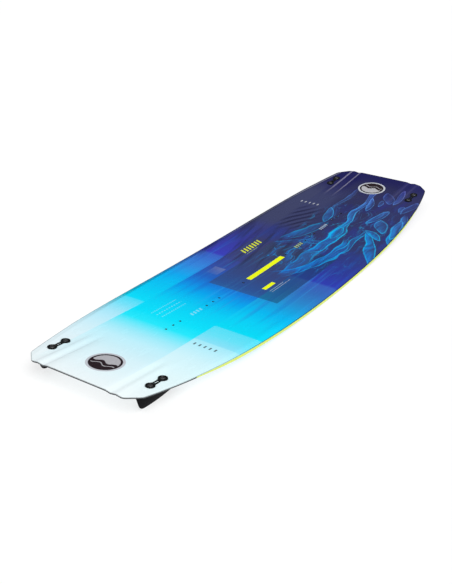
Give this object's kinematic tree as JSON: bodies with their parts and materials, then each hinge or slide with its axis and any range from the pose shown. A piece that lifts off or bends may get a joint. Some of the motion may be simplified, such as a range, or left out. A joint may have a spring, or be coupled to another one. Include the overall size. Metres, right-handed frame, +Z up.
{
  "type": "twin-tip kiteboard",
  "caption": "Flat twin-tip water sports board with upturned chamfered tips, corner fins, plastic side rails and threaded inserts for foot straps.",
  "frame": {"origin": "on the ground under the board's centre, level with the lowest points of the four fins", "axes": "+X along the board to the navy nose, +Y across it to its left, +Z up through the deck"},
  "size_m": [1.38, 0.405, 0.0506],
  "materials": {
    "printed_top_sheet": "glossy clear sheet over a print that runs from white through cyan and blue to navy",
    "glass_laminate": "glass fibre in clear epoxy",
    "core_wood": "light paulownia strips, unfinished",
    "printed_base_sheet": "glossy printed base sheet",
    "lime_rail": "satin yellow-green ABS, milled edge",
    "dark_edging": "satin charcoal, milled edge",
    "fin_nylon": "moulded black glass-filled nylon, fine texture",
    "washer_plastic": "moulded black plastic with a soft sheen",
    "black_screw_steel": "blackened stainless steel",
    "insert_brass": "turned brass",
    "insert_stainless": "turned stainless steel, dulled"
  },
  "bodies": {
    "root": {"top_sheet": "printed_top_sheet", "top_laminate": "glass_laminate", "wood_core": "core_wood", "bottom_laminate": "glass_laminate", "base_sheet": "printed_base_sheet", "rail_left": "lime_rail", "rail_right": "lime_rail", "tip_rail_tail": "dark_edging", "tip_rail_nose": "dark_edging", "fin_tail_left": "fin_nylon", "fin_washer_tail_left": "washer_plastic", "fin_screw_tail_left_outer": "black_screw_steel", "fin_insert_tail_left_outer": "insert_brass", "fin_screw_tail_left_inner": "black_screw_steel", "fin_insert_tail_left_inner": "insert_brass", "fin_tail_right": "fin_nylon", "fin_washer_tail_right": "washer_plastic", "fin_screw_tail_right_outer": "black_screw_steel", "fin_insert_tail_right_outer": "insert_brass", "fin_screw_tail_right_inner": "black_screw_steel", "fin_insert_tail_right_inner": "insert_brass", "binding_insert_tail_1": "insert_stainless", "binding_insert_tail_2": "insert_stainless", "binding_insert_tail_3": "insert_stainless", "binding_insert_tail_4": "insert_stainless", "binding_insert_tail_5": "insert_stainless", "binding_insert_tail_6": "insert_stainless", "handle_insert_tail": "insert_stainless", "fin_nose_left": "fin_nylon", "fin_washer_nose_left": "washer_plastic", "fin_screw_nose_left_outer": "black_screw_steel", "fin_insert_nose_left_outer": "insert_brass", "fin_screw_nose_left_inner": "black_screw_steel", "fin_insert_nose_left_inner": "insert_brass", "fin_nose_right": "fin_nylon", "fin_washer_nose_right": "washer_plastic", "fin_screw_nose_right_outer": "black_screw_steel", "fin_insert_nose_right_outer": "insert_brass", "fin_screw_nose_right_inner": "black_screw_steel", "fin_insert_nose_right_inner": "insert_brass", "binding_insert_nose_1": "insert_stainless", "binding_insert_nose_2": "insert_stainless", "binding_insert_nose_3": "insert_stainless", "binding_insert_nose_4": "insert_stainless", "binding_insert_nose_5": "insert_stainless", "binding_insert_nose_6": "insert_stainless", "handle_insert_nose": "insert_stainless"}
  },
  "joints": []
}
